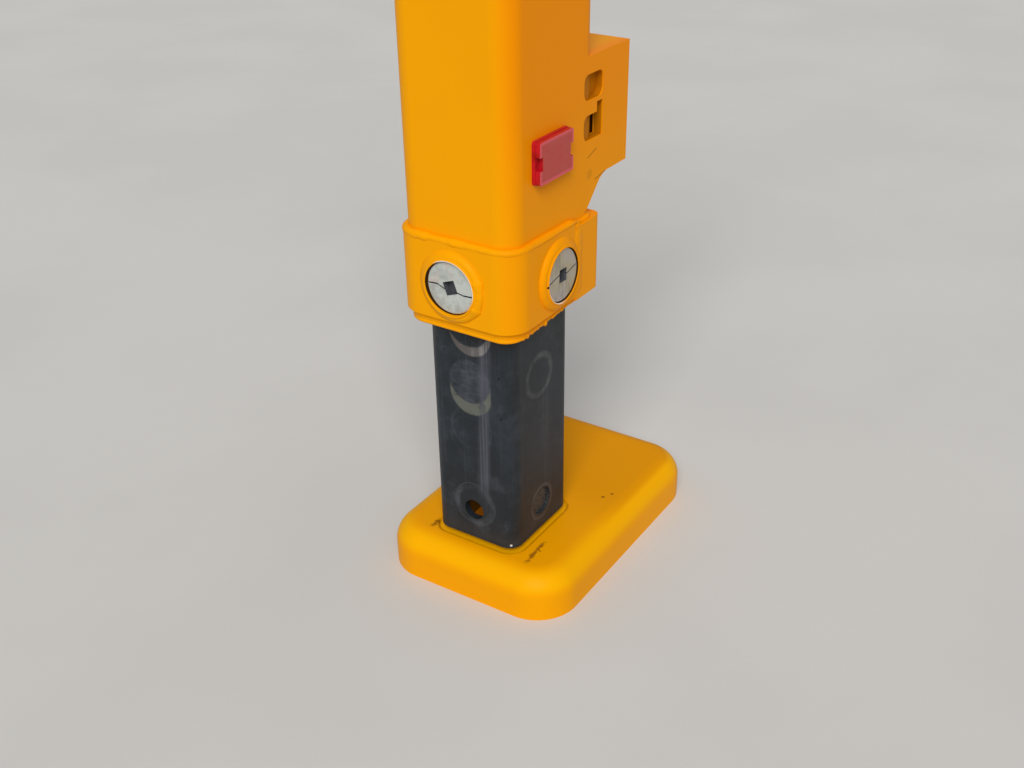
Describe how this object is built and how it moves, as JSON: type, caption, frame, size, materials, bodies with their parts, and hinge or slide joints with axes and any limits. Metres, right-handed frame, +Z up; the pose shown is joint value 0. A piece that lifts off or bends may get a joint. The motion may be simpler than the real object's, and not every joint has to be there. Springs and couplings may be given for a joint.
{
  "type": "stabiliser leg of a backhoe loader",
  "caption": "Vertical sliding stabiliser leg with a rocking foot, wear pad adjusters, hydraulic ram and stubs of the rear frame.",
  "frame": {"origin": "centre of the end face of the lower rail's underside plate, where the rail meets the rest of the rear frame", "axes": "+Z up along the leg; +X across the machine towards its middle, away from the leg; +Y towards the machine's front, so the reflector is on the -Y side"},
  "size_m": [0.416, 0.286, 1.281],
  "materials": {
    "yellow_paint": "gloss enamel over steel",
    "black_paint": "worn satin",
    "plated_steel": "dull plated",
    "pin_steel": "machined",
    "rod_chrome": "polished",
    "pad_plastic": "cast nylon",
    "red_reflector": "moulded, prismatic"
  },
  "bodies": {
    "housing": {"housing_tube": "yellow_paint", "collar_outer": "yellow_paint", "collar_inner": "yellow_paint", "disc_outer": "plated_steel", "disc_rear": "plated_steel", "disc_inner": "plated_steel", "disc_front": "plated_steel", "lower_pad_outer": "pad_plastic", "lower_pad_rear": "pad_plastic", "lower_pad_inner": "pad_plastic", "lower_pad_front": "pad_plastic", "rail_lower_rear": "yellow_paint", "rail_lower_front": "yellow_paint", "rail_lower_flanges": "yellow_paint", "rail_upper_rear": "yellow_paint", "rail_upper_front": "yellow_paint", "rail_upper_flanges": "yellow_paint", "reflector": "red_reflector", "head_pin": "pin_steel", "ram_barrel": "black_paint", "ram_gland": "pin_steel", "lock_valve": "plated_steel"},
    "leg": {"inner_leg": "black_paint", "upper_pad_outer": "pad_plastic", "upper_pad_rear": "pad_plastic", "upper_pad_inner": "pad_plastic", "upper_pad_front": "pad_plastic", "ram_rod": "rod_chrome", "foot_pin": "black_paint"},
    "foot": {"foot_pad": "yellow_paint", "foot_lug": "yellow_paint"}
  },
  "joints": [
    {"name": "leg_slide", "type": "slide", "parent": "housing", "child": "leg", "axis": [0, 0, 1], "range_m": [-0.25, 0.3]},
    {"name": "foot_rock", "type": "hinge", "parent": "leg", "child": "foot", "pos_m": [-0.175, 0.002, -0.4495], "axis": [0, 1, 0], "range_deg": [-3, 3]}
  ]
}
